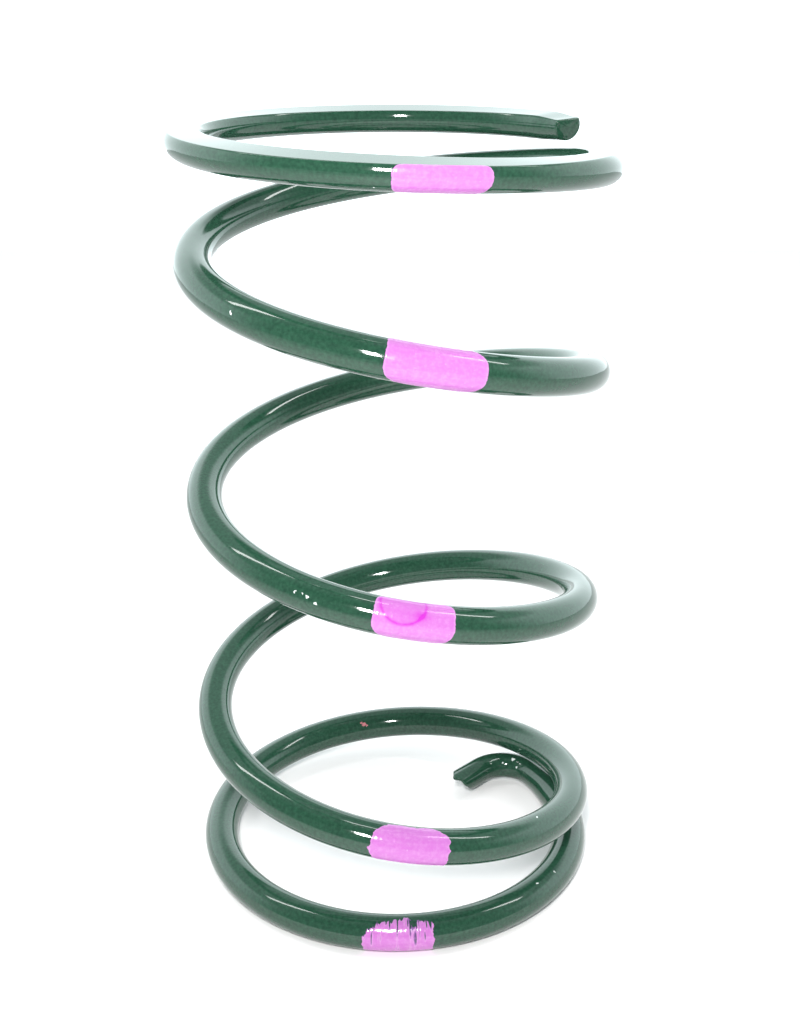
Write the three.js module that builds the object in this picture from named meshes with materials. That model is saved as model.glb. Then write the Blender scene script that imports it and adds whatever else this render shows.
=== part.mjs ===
// Coil spring for a car's suspension: one round steel wire wound as a left-hand helix.
// Both end coils lie flat, the lower end is bent inwards as a pigtail, and the wire is rolled
// thinner at both ends. Five paint marks are brushed on the outside, one a turn.
//
// The wire is divided into arcs. Each arc joins the next at a plane square to the wire, and
// can twist about the wire's own axis there, which is how a coil spring gives way.
//
// Millimetres, +Z up. The origin is on the coil's axis, in the plane that the spring stands on.
// A place along the wire is given in turns: 0 is at +X in the lower end coil, and the count
// grows upwards, clockwise as seen from above.

import * as THREE from "three";

// The wire
const WIRE_DIAMETER = 12.5;
const LOWER_TIP_DIAMETER = 10.3;
const LOWER_TAPER_FROM = -0.045; // turns; full width above this one, thin below the next
const LOWER_TAPER_TO = -0.095;
const UPPER_TIP_DIAMETER = 9.6;
const UPPER_TAPER_FROM = 3.72;
const UPPER_TAPER_TO = 4.72;

// The coil
const MEAN_RADIUS = 68;
const PITCH = 84.5; // rise of a whole turn in the middle of the spring
const LOWER_COIL_FLAT_TO = 0.2; // turns; the pitch grows from nothing here
const FULL_PITCH_FROM = 1.44;
const FULL_PITCH_TO = 3.16;
const UPPER_COIL_FLAT_FROM = 4.72; // the pitch has faded to nothing here
const UPPER_TIP = 4.94;

// The pigtail, which is bent in the plane of the lower end coil
const PIGTAIL_FROM = -0.093; // turns; the wire leaves the coil's circle here
const PIGTAIL_RADIUS = 13.5;
const PIGTAIL_BEND = THREE.MathUtils.degToRad(103);
const PIGTAIL_STRAIGHT = 11.4; // past the bend, to the middle of the cut end

// How obliquely the ends are cut: how far the cut moves along the wire for a step across it,
// outwards and upwards
const LOWER_CUT = { outward: 0.45, upward: -0.97 };
const UPPER_CUT = { outward: 0, upward: 0.12 };

// How the wire is divided
const ARCS_PER_TURN = 6;
const FIRST_CUT = 5 / 6;
const LAST_CUT = 4;
const JOINT_GAP = 0.3;

// How round surfaces are drawn
const SECTION_SIDES = 12;
const STATIONS_PER_TURN = 36;
const PIGTAIL_STATIONS = 10;

// Paint marks, from the lowest up: where each starts and ends, in turns
const PAINT_MARKS = [
  [0.22, 0.276],
  [1.21, 1.269],
  [2.209, 2.265],
  [3.189, 3.258],
  [4.188, 4.253],
];
const PAINT_LIFT = 0.1; // clearance between the wire and the film
const PAINT_THICKNESS = 0.3;
const PAINT_TOP_FACE = 3; // faces of the section, counted from the outermost one upwards
const PAINT_BOTTOM_FACE = -2;
const LOWEST_PAINT_BOTTOM_FACE = -1; // stays clear of the surface that the spring stands on

const TURN = 2 * Math.PI;
const TURN_LENGTH = TURN * MEAN_RADIUS;
const UP = new THREE.Vector3(0, 0, 1);

const enamel = { color: 0x3f5f50, roughness: 0.18, metalness: 0.0 };
const paint = { color: 0xf07fe4, roughness: 0.45, metalness: 0.0 };

// Rises from 0 to 1 while x goes from 0 to 1, level at both ends.
const ease = (x) => THREE.MathUtils.smoothstep(x, 0, 1);

// The area under ease, from 0 to x.
function easeArea(x) {
  const y = THREE.MathUtils.clamp(x, 0, 1);
  return y ** 3 - y ** 4 / 2 + Math.max(x - 1, 0);
}

// How much of the way turn is from one place to the other.
const share = (turn, from, to) => (turn - from) / (to - from);

function pitchAt(turn) {
  const grown = ease(share(turn, LOWER_COIL_FLAT_TO, FULL_PITCH_FROM));
  const faded = ease(share(turn, FULL_PITCH_TO, UPPER_COIL_FLAT_FROM));
  return PITCH * (grown - faded);
}

// Height of the wire's centre: the pitch summed from the lower end coil.
function heightAt(turn) {
  const growth = FULL_PITCH_FROM - LOWER_COIL_FLAT_TO;
  const fading = UPPER_COIL_FLAT_FROM - FULL_PITCH_TO;
  const grown = growth * easeArea(share(turn, LOWER_COIL_FLAT_TO, FULL_PITCH_FROM));
  const faded = fading * easeArea(share(turn, FULL_PITCH_TO, UPPER_COIL_FLAT_FROM));
  return WIRE_DIAMETER / 2 + PITCH * (grown - faded);
}

function wireRadiusAt(turn) {
  const lower = ease(share(turn, LOWER_TAPER_FROM, LOWER_TAPER_TO));
  const upper = ease(share(turn, UPPER_TAPER_FROM, UPPER_TAPER_TO));
  const tipDiameter = lower > 0 ? LOWER_TIP_DIAMETER : UPPER_TIP_DIAMETER;
  return THREE.MathUtils.lerp(WIRE_DIAMETER, tipDiameter, Math.max(lower, upper)) / 2;
}

// The wire's direction at a plan angle on a clockwise circle.
const clockwise = (angle) => new THREE.Vector3(Math.sin(angle), -Math.cos(angle), 0);
const outward = (angle) => new THREE.Vector3(Math.cos(angle), Math.sin(angle), 0);

const coilAngle = (turn) => -TURN * turn;

const PIGTAIL_BENT_BY = PIGTAIL_FROM - (PIGTAIL_BEND * PIGTAIL_RADIUS) / TURN_LENGTH;
const PIGTAIL_TIP = PIGTAIL_BENT_BY - PIGTAIL_STRAIGHT / TURN_LENGTH;

// How far the pigtail has bent, counted back from where it leaves the coil.
const pigtailBend = (turn) =>
  Math.min(((PIGTAIL_FROM - turn) * TURN_LENGTH) / PIGTAIL_RADIUS, PIGTAIL_BEND);

// The wire's centre line: the pigtail's straight and bend, then the coil.
function centreAt(turn) {
  if (turn >= PIGTAIL_FROM)
    return outward(coilAngle(turn)).multiplyScalar(MEAN_RADIUS).setZ(heightAt(turn));
  const start = coilAngle(PIGTAIL_FROM);
  const bendCentre = outward(start).multiplyScalar(MEAN_RADIUS - PIGTAIL_RADIUS);
  const bent = outward(start + pigtailBend(turn)).multiplyScalar(PIGTAIL_RADIUS);
  const straight = Math.max(PIGTAIL_BENT_BY - turn, 0) * TURN_LENGTH;
  const centre = bendCentre.add(bent).addScaledVector(directionAt(turn), -straight);
  return centre.setZ(heightAt(turn));
}

function directionAt(turn) {
  if (turn < PIGTAIL_FROM) return clockwise(coilAngle(PIGTAIL_FROM) + pigtailBend(turn));
  return clockwise(coilAngle(turn)).setZ(pitchAt(turn) / TURN_LENGTH).normalize();
}

// How obliquely the section at a station lies; only the two cut ends aren't square.
function cutAt(turn) {
  if (turn === PIGTAIL_TIP) return LOWER_CUT;
  if (turn === UPPER_TIP) return UPPER_CUT;
  return { outward: 0, upward: 0 };
}

// The wire's centre line through a list of stations. Its frames keep the section upright,
// with the shape's x pointing out of the coil and y pointing up, and are as long as the
// wire's radius, so a shape drawn for a wire of radius 1 follows the taper. A frame that also
// leans along the wire makes an oblique end.
class WirePath extends THREE.Curve {
  constructor(stations) {
    super();
    this.stations = stations;
  }

  getSpacedPoints() {
    return this.stations.map(centreAt);
  }

  computeFrenetFrames() {
    const frames = { tangents: [], normals: [], binormals: [] };
    for (const turn of this.stations) {
      const tangent = directionAt(turn);
      const out = UP.clone().cross(tangent).normalize();
      const upright = tangent.clone().cross(out);
      const cut = cutAt(turn);
      out.addScaledVector(tangent, cut.outward);
      upright.addScaledVector(tangent, cut.upward);
      frames.tangents.push(tangent);
      frames.normals.push(out.multiplyScalar(wireRadiusAt(turn)));
      frames.binormals.push(upright.multiplyScalar(wireRadiusAt(turn)));
    }
    return frames;
  }
}

// A corner of the section's polygon; faceEdge -0.5 and 0.5 bound the outermost face.
function corner(faceEdge, flatRadius) {
  const angle = (faceEdge * TURN) / SECTION_SIDES;
  const radius = flatRadius / Math.cos(Math.PI / SECTION_SIDES);
  return new THREE.Vector2(radius * Math.cos(angle), radius * Math.sin(angle));
}

function wireSection() {
  const corners = [];
  for (let face = 0; face < SECTION_SIDES; face++) corners.push(corner(face + 0.5, 1));
  return new THREE.Shape(corners);
}

// A band over the section's faces from bottomFace to topFace.
function paintSection(bottomFace, topFace) {
  const inner = 1 + PAINT_LIFT / (WIRE_DIAMETER / 2);
  const outer = inner + PAINT_THICKNESS / (WIRE_DIAMETER / 2);
  const corners = [];
  for (let edge = bottomFace - 0.5; edge <= topFace + 0.5; edge++) corners.push(corner(edge, outer));
  for (let edge = topFace + 0.5; edge >= bottomFace - 0.5; edge--) corners.push(corner(edge, inner));
  return new THREE.Shape(corners);
}

// Both ends, and every whole station between them.
function stationsBetween(from, to) {
  const stations = [from];
  const first = Math.floor(from * STATIONS_PER_TURN) + 1;
  for (let i = first; i / STATIONS_PER_TURN < to - 1e-6; i++) {
    if (i / STATIONS_PER_TURN > from + 1e-6) stations.push(i / STATIONS_PER_TURN);
  }
  stations.push(to);
  return stations;
}

function pigtailStations() {
  const stations = [PIGTAIL_TIP];
  for (let i = 0; i < PIGTAIL_STATIONS; i++)
    stations.push(THREE.MathUtils.lerp(PIGTAIL_BENT_BY, PIGTAIL_FROM, i / PIGTAIL_STATIONS));
  return stations;
}

function sweep(name, section, stations, finish) {
  const geometry = new THREE.ExtrudeGeometry(section, {
    steps: stations.length - 1,
    extrudePath: new WirePath(stations),
    bevelEnabled: false,
  });
  const mesh = new THREE.Mesh(geometry, new THREE.MeshStandardMaterial(finish));
  mesh.name = name;
  return mesh;
}

const halfGap = JOINT_GAP / 2 / TURN_LENGTH;

function lowerEndCoil() {
  const coil = stationsBetween(PIGTAIL_FROM, FIRST_CUT - halfGap);
  return sweep("lower_end_coil", wireSection(), [...pigtailStations(), ...coil], enamel);
}

function upperEndCoil() {
  const coil = stationsBetween(LAST_CUT + halfGap, UPPER_TIP);
  return sweep("upper_end_coil", wireSection(), coil, enamel);
}

function coilArc(number) {
  const from = FIRST_CUT + (number - 1) / ARCS_PER_TURN;
  const to = from + 1 / ARCS_PER_TURN;
  const name = "coil_arc_" + String(number).padStart(2, "0");
  return sweep(name, wireSection(), stationsBetween(from + halfGap, to - halfGap), enamel);
}

function paintMark([from, to], index) {
  const bottomFace = index === 0 ? LOWEST_PAINT_BOTTOM_FACE : PAINT_BOTTOM_FACE;
  const section = paintSection(bottomFace, PAINT_TOP_FACE);
  return sweep("paint_mark_" + (index + 1), section, stationsBetween(from, to), paint);
}

const spring = new THREE.Group();
spring.add(lowerEndCoil());
const arcCount = Math.round((LAST_CUT - FIRST_CUT) * ARCS_PER_TURN);
for (let number = 1; number <= arcCount; number++) spring.add(coilArc(number));
spring.add(upperEndCoil());
PAINT_MARKS.forEach((mark, index) => spring.add(paintMark(mark, index)));

export default spring;
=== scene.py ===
"""A car's coil spring: round steel wire in glossy dark green enamel, wound left-handed, with five
brushed pink paint marks, standing on a pale floor.

Everything is in metres, +Z up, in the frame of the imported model. A place along the wire is given
in turns: 0 is at +X in the lower end coil, and the count grows upwards, clockwise as seen from
above. A place round the wire is an angle in radians: 0 points out of the coil, and a quarter of
a turn points up.
"""

import math
from dataclasses import dataclass

import bpy
import numpy as np
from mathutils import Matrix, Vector, noise

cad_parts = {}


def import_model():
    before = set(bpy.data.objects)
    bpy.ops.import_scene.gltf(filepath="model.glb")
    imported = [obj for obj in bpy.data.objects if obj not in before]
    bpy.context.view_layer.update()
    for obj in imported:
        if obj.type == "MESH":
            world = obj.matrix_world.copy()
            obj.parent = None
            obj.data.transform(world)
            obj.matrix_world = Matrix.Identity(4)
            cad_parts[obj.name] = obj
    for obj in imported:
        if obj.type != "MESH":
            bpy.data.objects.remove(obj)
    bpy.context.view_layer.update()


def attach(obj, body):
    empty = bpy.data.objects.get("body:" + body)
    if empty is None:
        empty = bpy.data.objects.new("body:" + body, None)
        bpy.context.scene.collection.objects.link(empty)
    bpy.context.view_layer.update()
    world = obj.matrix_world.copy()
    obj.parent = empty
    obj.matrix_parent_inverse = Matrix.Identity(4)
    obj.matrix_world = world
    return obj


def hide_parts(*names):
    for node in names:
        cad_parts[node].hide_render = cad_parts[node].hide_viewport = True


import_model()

MM = 0.001
TURN = 2 * math.pi

# The wire, with the turns between which the pigtail gets thinner
WIRE_RADIUS = 6.25 * MM
LOWER_TIP_RADIUS = 5.15 * MM
LOWER_TAPER = (-0.045, -0.095)

# The coil
MEAN_RADIUS = 68 * MM
TURN_LENGTH = TURN * MEAN_RADIUS
PITCH = 84.5 * MM
PITCH_GROWS = (0.2, 1.44)
PITCH_FADES = (3.16, 4.72)
UPPER_TIP = 4.923

# The upper end coil, which is wound a little wider and rolled flat on top
UPPER_SPREAD = (3.6, 4.1)  # the turns over which the wire takes on this shape
UPPER_GROWTH = 0.9 * MM  # how much wider it is wound
UPPER_HALF_WIDTH = 6.6 * MM
UPPER_DEPTH = 5.7 * MM  # below the wire's centre
UPPER_TIP_HALF_WIDTH = 5.25 * MM
UPPER_TIP_DEPTH = 5.1 * MM
UPPER_TIP_LENGTH = 14 * MM
FLAT_GROWS = (3.86, 4.2)
FLAT_HEIGHT = 3.5 * MM  # above the wire's centre
FLAT_TIP_HEIGHT = 2.5 * MM
FLAT_CLEARANCE = 0.8 * MM  # how far the flat's plane is above the round wire where it begins
FLAT_LEAN = 0.14  # the flat is not quite level: how much it rises towards +Y
FLAT_EDGE = 0.12 * MM  # softness of its edges

# The pigtail at the lower end
PIGTAIL_FROM = -0.093
PIGTAIL_RADIUS = 13.5 * MM
PIGTAIL_BEND = math.radians(103)
PIGTAIL_STRAIGHT = 11.4 * MM
PIGTAIL_BENT_BY = PIGTAIL_FROM - PIGTAIL_BEND * PIGTAIL_RADIUS / TURN_LENGTH
PIGTAIL_TIP = PIGTAIL_BENT_BY - PIGTAIL_STRAIGHT / TURN_LENGTH

# The sheared ends
LOWER_CUT = 5.5 * MM  # how far the pigtail's longest side is past the middle of its cut
LOWER_CUT_LONGEST_AT = math.radians(115)
LOWER_LIP = 1.4 * MM  # the lip that the shear has left at the longest side
LOWER_LIP_AT = math.radians(105)
LOWER_LIP_WIDTH = math.radians(20)
LOWER_NOTCH_SHARE = 0.6  # depth of the notch beside the lip, as a share of the lip
LOWER_NOTCH_AWAY = 1.75  # from the lip, in lip widths
LOWER_NOTCH_SHARPNESS = 1.5
UPPER_CUT = 0.6 * MM
CUT_BLEND = 11 * MM  # how far back along the wire the rows still lean
EDGE_ROUNDING = 0.8 * MM

# Where the working turns are divided into arcs that twist
ARCS_PER_TURN = 6
FIRST_CUT = 5 / 6
LAST_CUT = 4

# How finely round surfaces are drawn
SIDES = 80
STATIONS_PER_TURN = 240
RIPPLE = 0.006 * MM  # how uneven the wire's surface is

# Light, and the floor under it, which is a little warm to balance the room
FLOOR_SIZE = 2.6
FLOOR_COLOUR = (0.98, 0.95, 0.95)
ROOM_COLOUR = (0.88, 0.975, 1.0)
WALL_RADIANCE = 2.45
CEILING_RADIANCE = 0.8
FRONT_SHARE = 0.12
TUBE_RADIANCE = 14
TUBE_SIZE = (0.12, 1.0)
TUBE_PLACE = (0.58, 0.1, 1.3)  # of the right one; the left one mirrors it
TUBE_TARGET = (0.3, 0.1, 0)
FLASH_RADIANCE = 175
FLASH_SIZE = (0.06, 0.12)
FLASH_PLACE = (-0.035, -0.48, 0.42)
FLASH_TARGET = (0, 0, 0.25)

# Paint, as linear colours
ENAMEL_DARK = (0.011, 0.042, 0.025)
ENAMEL_LIGHT = (0.021, 0.072, 0.042)
PINK = (0.47, 0.145, 0.46)
PINK_LIGHT = (0.54, 0.25, 0.52)
PINK_THICK = (0.45, 0.03, 0.43)
PRIMER = (0.75, 0.8, 0.78)
SPATTER = (0.5, 0.18, 0.2)
ENAMEL_ROUGHNESS = 0.075
PAINT_ROUGHNESS = 0.16


# ---------------------------------------------------------------- the wire's shape


def ease(x):
    """Rises from 0 to 1 while x goes from 0 to 1, level at both ends."""
    y = np.clip(x, 0, 1)
    return y * y * (3 - 2 * y)


def ease_area(x):
    """The area under ease, from 0 to x."""
    y = np.clip(x, 0, 1)
    return y**3 - y**4 / 2 + np.maximum(x - 1, 0)


def share(value, span):
    """How much of the way value is through span."""
    return (value - span[0]) / (span[1] - span[0])


def centre_height(turn):
    """Height of the wire's centre: the pitch summed from the lower end coil."""
    grown = (PITCH_GROWS[1] - PITCH_GROWS[0]) * ease_area(share(turn, PITCH_GROWS))
    faded = (PITCH_FADES[1] - PITCH_FADES[0]) * ease_area(share(turn, PITCH_FADES))
    return WIRE_RADIUS + PITCH * (grown - faded)


def near_upper_tip(turn):
    """Rises from 0 to 1 over the last of the wire."""
    return ease(1 - (UPPER_TIP - turn) * TURN_LENGTH / UPPER_TIP_LENGTH)


def tapered_radius(turn):
    """The round wire's radius, with the pigtail's taper."""
    return WIRE_RADIUS + (LOWER_TIP_RADIUS - WIRE_RADIUS) * ease(share(turn, LOWER_TAPER))


def with_upper_end(turn, coil_value, tip_value):
    """The radius, changing to coil_value along the upper end coil and to tip_value at its tip."""
    along_coil = (coil_value - WIRE_RADIUS) * ease(share(turn, UPPER_SPREAD))
    return tapered_radius(turn) + along_coil + (tip_value - coil_value) * near_upper_tip(turn)


def half_width(turn):
    return with_upper_end(turn, UPPER_HALF_WIDTH, UPPER_TIP_HALF_WIDTH)


def depth(turn):
    """How far the wire reaches below its centre."""
    return with_upper_end(turn, UPPER_DEPTH, UPPER_TIP_DEPTH)


def flat_height(turn):
    """Height over the wire's centre of the plane that cuts off its top."""
    start = WIRE_RADIUS + FLAT_CLEARANCE
    rolled = (FLAT_HEIGHT - start) * ease(share(turn, FLAT_GROWS))
    return start + rolled + (FLAT_TIP_HEIGHT - FLAT_HEIGHT) * near_upper_tip(turn)


def soft_min(a, b, softness):
    lower = np.minimum(a, b)
    return lower - softness * np.log1p(np.exp(-np.abs(a - b) / softness))


def plan(angle, radius):
    """Points on a circle round the coil's axis, or round the pigtail's own centre."""
    return np.stack([radius * np.cos(angle), radius * np.sin(angle)], -1)


def centre(turn):
    """The wire's centre line."""
    turn = np.asarray(turn, float)
    start = -TURN * PIGTAIL_FROM
    bend = np.minimum((PIGTAIL_FROM - turn) * TURN_LENGTH / PIGTAIL_RADIUS, PIGTAIL_BEND)
    pigtail = plan(start, MEAN_RADIUS - PIGTAIL_RADIUS) + plan(start + bend, PIGTAIL_RADIUS)
    heading = start + PIGTAIL_BEND + TURN / 4
    straight = np.maximum(PIGTAIL_BENT_BY - turn, 0) * TURN_LENGTH
    pigtail = pigtail + straight[..., None] * plan(heading, 1)
    radius = MEAN_RADIUS + UPPER_GROWTH * ease(share(turn, UPPER_SPREAD))
    coil = radius[..., None] * plan(-TURN * turn, 1)
    flat = np.where((turn < PIGTAIL_FROM)[..., None], pigtail, coil)
    return np.concatenate([flat, centre_height(turn)[..., None]], -1)


def unit(vectors):
    return vectors / np.linalg.norm(vectors, axis=-1, keepdims=True)


def section_axes(turn):
    """The wire's direction, and its section's outward and upward directions."""
    step = 1e-5
    turn = np.asarray(turn, float)
    along = unit(centre(turn + step) - centre(turn - step))
    outward = unit(np.cross([0.0, 0.0, 1.0], along))
    return along, outward, np.cross(along, outward)


def ripple(turn, angle):
    """Slight unevenness of the hot-rolled bar under the enamel."""
    s = turn * TURN_LENGTH / MM
    waves = np.sin(0.31 * s + 2 * angle) + np.sin(0.47 * s - 3 * angle + 1.3)
    waves += np.sin(0.173 * s + angle + 0.4) + 0.6 * np.sin(0.83 * s + 5 * angle + 2.1)
    return RIPPLE * waves / 2


def surface(turn, angle, lift=0.0):
    """Points on the wire, lift outside its surface."""
    _, outward, upward = section_axes(turn)
    extra = ripple(turn, angle) + lift
    across = (half_width(turn) + extra) * np.cos(angle)
    flat = flat_height(turn) + lift + FLAT_LEAN * outward[..., 1] * across
    up = soft_min((depth(turn) + extra) * np.sin(angle), flat, FLAT_EDGE)
    return centre(turn) + across[..., None] * outward + up[..., None] * upward


def surface_normals(turn, angle):
    step = 1e-4
    along = surface(turn + step, angle) - surface(turn - step, angle)
    around = surface(turn, angle + step) - surface(turn, angle - step)
    return unit(np.cross(around, along))


# ---------------------------------------------------------------- meshes


def grid_faces(rows, columns, closed):
    """Quads between the rows and columns of a grid of points; closed joins the last column to
    the first."""
    row, column = np.meshgrid(np.arange(rows - 1), np.arange(columns - (not closed)), indexing="ij")
    a = row * columns + column
    b = row * columns + (column + 1) % columns
    return np.stack([a, b, b + columns, a + columns], -1).reshape(-1, 4)


def make_mesh(name, points, faces, normals=None):
    """A smooth object. normals gives the shading normals of the first points, where set."""
    mesh = bpy.data.meshes.new(name)
    mesh.from_pydata([tuple(p) for p in points], [], [tuple(map(int, f)) for f in faces])
    mesh.shade_smooth()
    if normals is not None:
        corner_points = np.zeros(len(mesh.loops), int)
        mesh.loops.foreach_get("vertex_index", corner_points)
        wanted = np.zeros((len(corner_points), 3))
        known = corner_points < len(normals)
        wanted[known] = normals[corner_points[known]]
        mesh.normals_split_custom_set([tuple(n) for n in wanted])
    mesh.validate()
    piece = bpy.data.objects.new(name, mesh)
    bpy.context.scene.collection.objects.link(piece)
    return piece


def along_stations(start, end):
    return np.linspace(start, end, max(3, round((end - start) * STATIONS_PER_TURN) + 1))


def wire_piece(name, start, end):
    """A length of the wire, closed by flat ends that the next lengths hide."""
    stations = along_stations(start, end)
    angles = np.arange(SIDES) * TURN / SIDES
    turn, angle = np.meshgrid(stations, angles, indexing="ij")
    side = surface(turn, angle).reshape(-1, 3)
    normals = surface_normals(turn, angle).reshape(-1, 3)
    faces = [tuple(f) for f in grid_faces(len(stations), SIDES, closed=True)]
    first = len(side)
    faces.append(tuple(range(first + SIDES - 1, first - 1, -1)))
    faces.append(tuple(range(first + SIDES, first + 2 * SIDES)))
    points = np.concatenate([side, side[:SIDES], side[-SIDES:]])
    return make_mesh(name, points, faces, normals)


def lower_lean(angle):
    """How far each side of the wire reaches past the middle of the pigtail's cut."""
    off = (angle - LOWER_LIP_AT) / LOWER_LIP_WIDTH
    notch = np.exp(-((off - LOWER_NOTCH_AWAY) ** 2) * LOWER_NOTCH_SHARPNESS)
    lip = np.exp(-(off**2)) - LOWER_NOTCH_SHARE * notch
    return LOWER_CUT * np.cos(angle - LOWER_CUT_LONGEST_AT) + LOWER_LIP * lip


def upper_lean(angle):
    return UPPER_CUT * np.sin(angle)


def cut_rows(tip, way, lean, angles):
    """Turns and insets of the rows next to a cut end, from the wire to the cut's edge. way is 1
    where the wire ends going up the turns, and -1 where it ends going down."""
    back = np.concatenate([np.arange(CUT_BLEND / MM, 1, -1.0), [0.7, 0.5, 0.3, 0.15, 0.05, 0]]) * MM
    lean_share = 1 - ease(back / CUT_BLEND)
    reach = way * (lean_share[:, None] * lean(angles)[None, :] - back[:, None])
    corner = np.clip(1 - back / EDGE_ROUNDING, 0, 1)
    inset = EDGE_ROUNDING * (1 - np.sqrt(1 - corner**2))
    return tip + reach / TURN_LENGTH, np.repeat(inset[:, None], len(angles), axis=1)


def cut_face(edge, tip, way, seed):
    """Rings of points from a cut's edge to its middle, as uneven as sheared steel."""
    middle = edge.mean(0)
    along = way * section_axes(tip)[0]
    rings = []
    for share_left in (0.93, 0.82, 0.68, 0.54, 0.4, 0.27, 0.14, 0.05):
        ring = middle + share_left * (edge - middle)
        bumps = [noise.noise(Vector(p) * 420 + Vector((seed, 0, 0))) for p in ring]
        dome = 0.35 * MM * (1 - share_left**2)
        rings.append(ring + along * (dome + 0.22 * MM * np.array(bumps))[:, None])
    return rings


def end_piece(name, joint, tip, lean, seed):
    """A length of the wire from a joint to a sheared tip."""
    way = 1 if tip > joint else -1
    angles = np.arange(SIDES) * TURN / SIDES
    stations = along_stations(*sorted((joint, tip - way * CUT_BLEND / TURN_LENGTH)))[::way]
    turn, angle = np.meshgrid(stations[:-1], angles, indexing="ij")
    cut_turn, inset = cut_rows(tip, way, lean, angles)
    turn = np.concatenate([turn, cut_turn])
    angle = np.concatenate([angle, np.broadcast_to(angles, cut_turn.shape)])
    inset = np.concatenate([np.zeros((len(stations) - 1, SIDES)), inset])
    side = surface(turn, angle, -inset)
    rows = np.concatenate([side, cut_face(side[-1], tip, way, seed)])
    faces = grid_faces(len(rows), SIDES, closed=True)
    faces = [tuple(f[::way]) for f in faces]
    first = len(rows) * SIDES
    middle = range(first - SIDES, first)
    hidden = range(first, first + SIDES)
    faces.append(tuple(middle) if way > 0 else tuple(middle)[::-1])
    faces.append(tuple(hidden)[::-1] if way > 0 else tuple(hidden))
    points = np.concatenate([rows.reshape(-1, 3), side[0]])
    smooth_rows = len(turn) - 6
    normals = surface_normals(turn[:smooth_rows], angle[:smooth_rows]).reshape(-1, 3)
    return make_mesh(name, points, faces, normals)


# ---------------------------------------------------------------- materials


def new_material(name):
    material = bpy.data.materials.new(name)
    material.use_nodes = True
    return material, material.node_tree, material.node_tree.nodes["Principled BSDF"]


def add_node(tree, kind, links=(), **values):
    """A node with its values set. links pairs an input's name with the socket that feeds it."""
    made = tree.nodes.new("ShaderNode" + kind)
    for name, value in values.items():
        if hasattr(made, name):
            setattr(made, name, value)
        else:
            made.inputs[name.replace("_", " ")].default_value = value
    for name, source in links:
        tree.links.new(source, made.inputs[name])
    return made


def mix_colour(tree, factor, first, second):
    """Mixes two colours, each a socket or a plain value, by a socket."""
    mix = tree.nodes.new("ShaderNodeMix")
    mix.data_type = "RGBA"
    tree.links.new(factor, mix.inputs["Factor"])
    for socket, colour in ((mix.inputs[6], first), (mix.inputs[7], second)):
        if isinstance(colour, tuple):
            socket.default_value = (*colour, 1)
        else:
            tree.links.new(colour, socket)
    return mix.outputs[2]


def near(tree, place, point, radius):
    """1 within radius of a point, falling to 0 over a third of it."""
    away = add_node(tree, "VectorMath", operation="DISTANCE")
    tree.links.new(place, away.inputs[0])
    away.inputs[1].default_value = tuple(point)
    inside = add_node(tree, "MapRange", [("Value", away.outputs["Value"])])
    inside.inputs["From Min"].default_value = radius
    inside.inputs["From Max"].default_value = radius * 0.67
    return inside.outputs["Result"]


def rough_place(tree, place):
    """Object coordinates pushed about, so that spots placed by them aren't round."""
    wobble = add_node(tree, "TexNoise", [("Vector", place)], Scale=1300.0, Detail=2.0)
    centred = add_node(tree, "VectorMath", operation="SUBTRACT")
    tree.links.new(wobble.outputs["Color"], centred.inputs[0])
    centred.inputs[1].default_value = (0.5, 0.5, 0.5)
    scaled = add_node(tree, "VectorMath", operation="SCALE", Scale=1.6 * MM)
    tree.links.new(centred.outputs["Vector"], scaled.inputs[0])
    pushed = add_node(tree, "VectorMath", operation="ADD")
    tree.links.new(place, pushed.inputs[0])
    tree.links.new(scaled.outputs["Vector"], pushed.inputs[1])
    return pushed.outputs["Vector"]


# Where the enamel is nicked down to the pale primer, and where pink paint has spattered it:
# turn, degrees round the wire, size
NICKS = [
    (2.3225, 24, 0.5 * MM), (2.3166, 27, 0.4 * MM), (2.3126, 22, 0.55 * MM), (2.3057, 12, 0.5 * MM),
    (3.3683, 15, 0.6 * MM), (1.1223, 81, 0.5 * MM), (0.1197, 69, 0.45 * MM), (0.0961, 63, 0.4 * MM),
    (-0.112, 118, 0.7 * MM), (-0.125, 140, 0.5 * MM), (-0.104, 150, 0.4 * MM), (4.262, -45, 0.3 * MM),
]
SPATTERS = [(0.7163, 144, 0.9 * MM), (0.7135, 138, 0.6 * MM), (0.7188, 150, 0.5 * MM)]


def spots(tree, place, colour, places, spot_colour):
    for turn, degrees, size in places:
        point = surface(np.array(turn), np.array(math.radians(degrees)))
        colour = mix_colour(tree, near(tree, place, point, size), colour, spot_colour)
    return colour


def enamel():
    """Glossy dark green enamel, faintly mottled, with nicks and pink spatter."""
    material, tree, shader = new_material("green_enamel")
    place = add_node(tree, "TexCoord").outputs["Object"]
    mottle = add_node(tree, "TexNoise", [("Vector", place)], Scale=900.0, Detail=3.0, Roughness=0.6)
    tone = add_node(tree, "ValToRGB", [("Fac", mottle.outputs["Fac"])])
    tone.color_ramp.elements[0].position = 0.3
    tone.color_ramp.elements[0].color = (*ENAMEL_DARK, 1)
    tone.color_ramp.elements[1].position = 0.7
    tone.color_ramp.elements[1].color = (*ENAMEL_LIGHT, 1)
    rough = rough_place(tree, place)
    colour = spots(tree, rough, tone.outputs["Color"], NICKS, PRIMER)
    colour = spots(tree, rough, colour, SPATTERS, SPATTER)
    peel = add_node(tree, "TexNoise", [("Vector", place)], Scale=420.0, Detail=2.0)
    bump = add_node(tree, "Bump", [("Height", peel.outputs["Fac"])], Strength=0.12)
    bump.inputs["Distance"].default_value = 0.02 * MM
    tree.links.new(colour, shader.inputs["Base Color"])
    tree.links.new(bump.outputs["Normal"], shader.inputs["Normal"])
    shader.inputs["Roughness"].default_value = ENAMEL_ROUGHNESS
    return material


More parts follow.
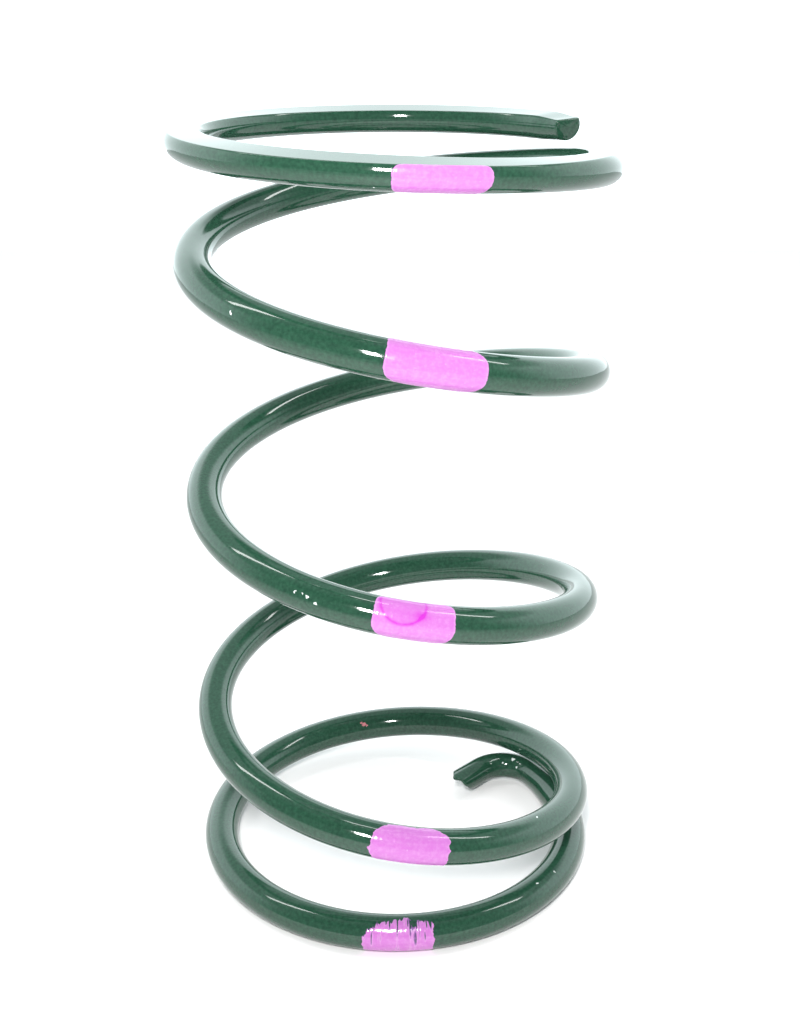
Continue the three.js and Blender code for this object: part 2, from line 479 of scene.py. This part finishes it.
def marking_paint():
    """Pink paint: darker where it is thin, more magenta where it is thick."""
    material, tree, shader = new_material("pink_marking_paint")
    place = add_node(tree, "TexCoord").outputs["Object"]
    coat = add_node(tree, "Attribute", attribute_name="coat").outputs["Fac"]
    mottle = add_node(tree, "TexNoise", [("Vector", place)], Scale=750.0, Detail=4.0, Roughness=0.65)
    shade = add_node(tree, "MapRange", [("Value", mottle.outputs["Fac"])])
    shade.inputs["From Min"].default_value = 0.3
    shade.inputs["From Max"].default_value = 0.7
    shade.inputs["To Min"].default_value = -0.06
    shade.inputs["To Max"].default_value = 0.06
    total = add_node(tree, "Math", operation="ADD")
    tree.links.new(coat, total.inputs[0])
    tree.links.new(shade.outputs["Result"], total.inputs[1])
    ramp = add_node(tree, "ValToRGB", [("Fac", total.outputs["Value"])]).color_ramp
    stops = ((0.0, (0.03, 0.035, 0.05)), (0.2, (0.22, 0.09, 0.28)), (0.42, PINK_LIGHT),
             (0.6, PINK), (1.0, PINK_THICK))
    while len(ramp.elements) < len(stops):
        ramp.elements.new(0.5)
    for element, (position, colour) in zip(ramp.elements, stops):
        element.position = position
        element.color = (*colour, 1)
    tree.links.new(tree.nodes["Color Ramp"].outputs["Color"], shader.inputs["Base Color"])
    shader.inputs["Roughness"].default_value = PAINT_ROUGHNESS
    return material


# ---------------------------------------------------------------- the pieces


def dress(piece, material, slot, body, *nodes):
    piece.data.materials.append(material)
    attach(piece, body)
    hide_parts(*nodes)


def build_wire():
    paint = enamel()
    lower = end_piece("wire_lower_end", FIRST_CUT, PIGTAIL_TIP, lower_lean, seed=3)
    dress(lower, paint, "enamel", "lower_end", "lower_end_coil")
    for number in range(1, round((LAST_CUT - FIRST_CUT) * ARCS_PER_TURN) + 1):
        start = FIRST_CUT + (number - 1) / ARCS_PER_TURN
        arc = wire_piece(f"wire_arc_{number:02d}", start, start + 1 / ARCS_PER_TURN)
        dress(arc, paint, "enamel", f"arc_{number:02d}", f"coil_arc_{number:02d}")
    upper = end_piece("wire_upper_end", LAST_CUT, UPPER_TIP, upper_lean, seed=8)
    dress(upper, paint, "enamel", "upper_end", "upper_end_coil")


# ---------------------------------------------------------------- paint marks


@dataclass
class Mark:
    """A brushed patch. turns and degrees bound it along and round the wire; corners are its
    radii in mm at the lower turn (bottom, top) and at the higher turn (bottom, top)."""

    node: str
    body: str
    turns: tuple
    degrees: tuple
    corners: tuple
    ragged: float  # how far its edge wanders, mm
    seed: int


MARKS = [
    Mark("paint_mark_1", "lower_end", (0.2210, 0.2750), (-74, 88), (0.6, 1.5, 2.0, 3.0), 0.35, 11),
    Mark("paint_mark_2", "arc_03", (1.2105, 1.2695), (-74, 100), (4.0, 7.0, 9.0, 8.0), 0.45, 12),
    Mark("paint_mark_3", "arc_09", (2.2090, 2.2665), (-74, 100), (8.0, 3.0, 9.5, 3.0), 0.12, 13),
    Mark("paint_mark_4", "arc_15", (3.1890, 3.2572), (-74, 100), (7.0, 7.5, 8.0, 1.5), 0.12, 14),
    Mark("paint_mark_5", "upper_end", (4.1890, 4.2518), (-100, 38), (10.0, 4.0, 7.5, 4.5), 0.10, 15),
]
CELL = 0.2 * MM
COAT = 0.10 * MM
BEAD = 0.05 * MM  # extra height of the rim of a wet edge


def value_noise(x, y, seed):
    """Smooth noise from -1 to 1; x and y count its cells."""
    table = np.random.default_rng(seed).uniform(-1, 1, (64, 64))
    column, row = np.floor(x).astype(int), np.floor(y).astype(int)
    fx, fy = ease(x - column), ease(y - row)
    at = lambda i, j: table[i % 64, j % 64]
    low = at(column, row) * (1 - fx) + at(column + 1, row) * fx
    high = at(column, row + 1) * (1 - fx) + at(column + 1, row + 1) * fx
    return low * (1 - fy) + high * fy


def inside_outline(mark, u, w, size):
    """How far a place is inside the mark's rounded outline, in mm; negative outside."""
    lower_bottom, lower_top, higher_bottom, higher_top = mark.corners
    du, dw = u - size[0] / 2, w - size[1] / 2
    lower = np.where(dw < 0, lower_bottom, lower_top)
    higher = np.where(dw < 0, higher_bottom, higher_top)
    radius = np.where(du < 0, lower, higher)
    past_u = np.abs(du) - size[0] / 2 + radius
    past_w = np.abs(dw) - size[1] / 2 + radius
    corner = np.hypot(np.maximum(past_u, 0), np.maximum(past_w, 0))
    inside = radius - corner - np.minimum(np.maximum(past_u, past_w), 0)
    wander = value_noise(u / 1.7, w / 1.7, mark.seed) + 0.5 * value_noise(u / 0.6, w / 0.6, mark.seed)
    return inside + mark.ragged * wander


def bristle_marks(u, w, degrees):
    """How much a drying brush has left bare: streaks round the wire, wider towards the top. left
    is in mm from the end where the brush was put down, and top is where the paint runs out."""
    left = 23.5 - u
    top = np.interp(left, (0, 1.4, 1.8, 4.2, 4.6, 9.5, 10.5, 13.5, 14, 15.5, 16, 23),
                    (12, 16, 38, 40, 60, 64, 74, 76, 86, 84, 72, 66))
    fine = value_noise(u / 0.42, w / 5, 21) + 0.7 * value_noise(u / 0.75, w / 9, 22)
    past = (degrees - top - 9 * fine) / 6
    drying = np.clip((degrees - 8) / 60, 0, 1) * (0.25 + 0.75 * np.clip((left - 9) / 6, 0, 1))
    streak = np.clip(fine * 1.3 - 0.75 + 1.25 * drying, 0, 1)
    gap = np.exp(-(((left - 17.5 + 0.5 * fine) / 0.5) ** 2) - ((degrees - 16) / 26) ** 2)
    return np.clip(np.maximum(np.maximum(past, streak), 1.1 * gap), 0, 1)


def drip(u, w, size):
    """The thick rim of a second drop of paint, and the blot at its side."""
    left = size[0] - u
    middle_left, middle_up, half_across, half_down = 8.6, 16.4, 7.2, 7.4
    across, down = (left - middle_left) / half_across, (w - middle_up) / half_down
    ring = np.hypot(across, down)
    lower = ease((1.3 - down) / 1.6)
    blot = np.exp(-(((left - 14.2) / 2.2) ** 2) - ((w - 12.4) / 1.5) ** 2)
    return np.exp(-(((ring - 1) / 0.075) ** 2)) * lower + 0.9 * blot + 0.18 * (ring < 1)


def mark_coat(mark, u, w, degrees, size):
    """Height of the paint over the wire, and how thick it looks, from 0 to 1."""
    inside = inside_outline(mark, u, w, size)
    streaks = value_noise(u / 0.55, w / 6, mark.seed + 30) + 0.5 * value_noise(u / 0.3, w / 3, mark.seed)
    full = ease(inside / 0.35)
    bead = np.exp(-(((inside - 0.3) / 0.2) ** 2))
    scratches = value_noise(u / 5, w / 0.3, mark.seed + 50)
    specks = np.maximum(value_noise(u / 0.35, w / 0.35, mark.seed + 60) - 0.86, 0)
    # The rim just inside a mark's edge is coloured a lighter pink, as well as standing higher.
    look = 0.58 + 0.01 * streaks + 0.02 * scratches - 0.1 * bead - 1.6 * specks
    if mark.node == "paint_mark_1":
        bare = bristle_marks(u, w, degrees)
        inside = np.where(bare > 0.75, -0.2, inside)
        look = look * (1 - 0.55 * bare) - 0.35 * bare * (bare > 0.4)
        full = full * (1 - bare)
    if mark.node == "paint_mark_3":
        look = look + 0.32 * drip(u, w, size)
    height = (COAT * (0.85 + 0.15 * streaks) + BEAD * bead) * full
    height = np.where(inside > 0, height, -0.35 * COAT)
    return height, look, inside


def paint_mark(mark, material):
    low, high = mark.turns
    bottom, top = np.radians(mark.degrees)
    radius = float(half_width(np.array(low)))
    size = ((high - low) * TURN_LENGTH / MM, (top - bottom) * radius / MM)
    margin = 3 * CELL
    turns = np.arange(low - margin / TURN_LENGTH, high + margin / TURN_LENGTH, CELL / TURN_LENGTH)
    angles = np.arange(bottom, top + margin / radius, CELL / radius)
    turn, angle = np.meshgrid(turns, angles, indexing="ij")
    u, w = (turn - low) * TURN_LENGTH / MM, (angle - bottom) * radius / MM
    height, look, inside = mark_coat(mark, u, w, np.degrees(angle), size)
    points = surface(turn, angle, height).reshape(-1, 3)
    faces = grid_faces(*turn.shape, closed=False)
    faces = faces[(inside.ravel()[faces] > 0).any(1)]
    used, faces = np.unique(faces, return_inverse=True)
    piece = make_mesh(mark.node + "_paint", points[used], faces.reshape(-1, 4))
    coat = piece.data.attributes.new("coat", "FLOAT", "POINT")
    coat.data.foreach_set("value", look.ravel()[used].astype(np.float32))
    thicken = piece.modifiers.new("film", "SOLIDIFY")
    thicken.thickness = 0.25 * MM
    thicken.offset = -1
    dress(piece, material, "marking_paint", mark.body, mark.node)


def build_marks():
    material = marking_paint()
    for mark in MARKS:
        paint_mark(mark, material)


# ---------------------------------------------------------------- floor, light and camera


def floor():
    """A white sheet that ends where the room's white wall takes over behind it."""
    bpy.ops.mesh.primitive_plane_add(size=FLOOR_SIZE)
    plane = bpy.context.object
    plane.name = "floor"
    material, _, shader = new_material("pale_floor")
    shader.inputs["Base Color"].default_value = (*FLOOR_COLOUR, 1)
    shader.inputs["Roughness"].default_value = 0.6
    plane.data.materials.append(material)


def world():
    """A white room, brightest behind the spring, with a dimmer ceiling and a dark front."""
    sky = bpy.data.worlds.new("room")
    bpy.context.scene.world = sky
    sky.use_nodes = True
    tree = sky.node_tree
    background = tree.nodes["Background"]
    direction = add_node(tree, "TexCoord").outputs["Generated"]
    parts = add_node(tree, "SeparateXYZ", [("Vector", direction)])
    wall = add_node(tree, "MapRange", [("Value", parts.outputs["Z"])], interpolation_type="SMOOTHSTEP")
    wall.inputs["From Min"].default_value = 0.5
    wall.inputs["From Max"].default_value = 0.66
    wall.inputs["To Min"].default_value = WALL_RADIANCE
    wall.inputs["To Max"].default_value = CEILING_RADIANCE
    front = add_node(tree, "MapRange", [("Value", parts.outputs["Y"])], interpolation_type="SMOOTHSTEP")
    front.inputs["From Min"].default_value = -0.55
    front.inputs["From Max"].default_value = 0.2
    front.inputs["To Min"].default_value = FRONT_SHARE
    front.inputs["To Max"].default_value = 1.0
    strength = add_node(tree, "Math", operation="MULTIPLY")
    tree.links.new(wall.outputs["Result"], strength.inputs[0])
    tree.links.new(front.outputs["Result"], strength.inputs[1])
    tree.links.new(strength.outputs["Value"], background.inputs["Strength"])
    background.inputs["Color"].default_value = (*ROOM_COLOUR, 1)


def area_light(name, place, target, size, radiance):
    """A rectangular lamp of that radiance, turned towards target."""
    data = bpy.data.lights.new(name, "AREA")
    data.shape = "RECTANGLE"
    data.size, data.size_y = size
    data.energy = radiance * math.pi * size[0] * size[1]
    lamp = bpy.data.objects.new(name, data)
    lamp.location = place
    aim = Vector(target) - Vector(place)
    lamp.rotation_euler = aim.to_track_quat("-Z", "Y").to_euler()
    bpy.context.scene.collection.objects.link(lamp)


def mirrored(point, side):
    return (side * point[0], *point[1:])


def lights():
    for name, side in (("left_tube", -1), ("right_tube", 1)):
        place, target = mirrored(TUBE_PLACE, side), mirrored(TUBE_TARGET, side)
        area_light(name, place, target, TUBE_SIZE, TUBE_RADIANCE)
    area_light("flash", FLASH_PLACE, FLASH_TARGET, FLASH_SIZE, FLASH_RADIANCE)


def camera():
    data = bpy.data.cameras.new("camera")
    data.sensor_fit = "AUTO"
    data.sensor_width = 36
    data.lens = 49.62
    data.clip_start = 0.01
    eye = bpy.data.objects.new("camera", data)
    eye.location = (0, -0.4736, 0.3170)
    eye.rotation_euler = (math.radians(90 - 20.574), 0, math.radians(-0.2234))
    bpy.context.scene.collection.objects.link(eye)
    bpy.context.scene.camera = eye


build_wire()
build_marks()
floor()
world()
lights()
camera()
bpy.context.scene.view_settings.view_transform = "Standard"
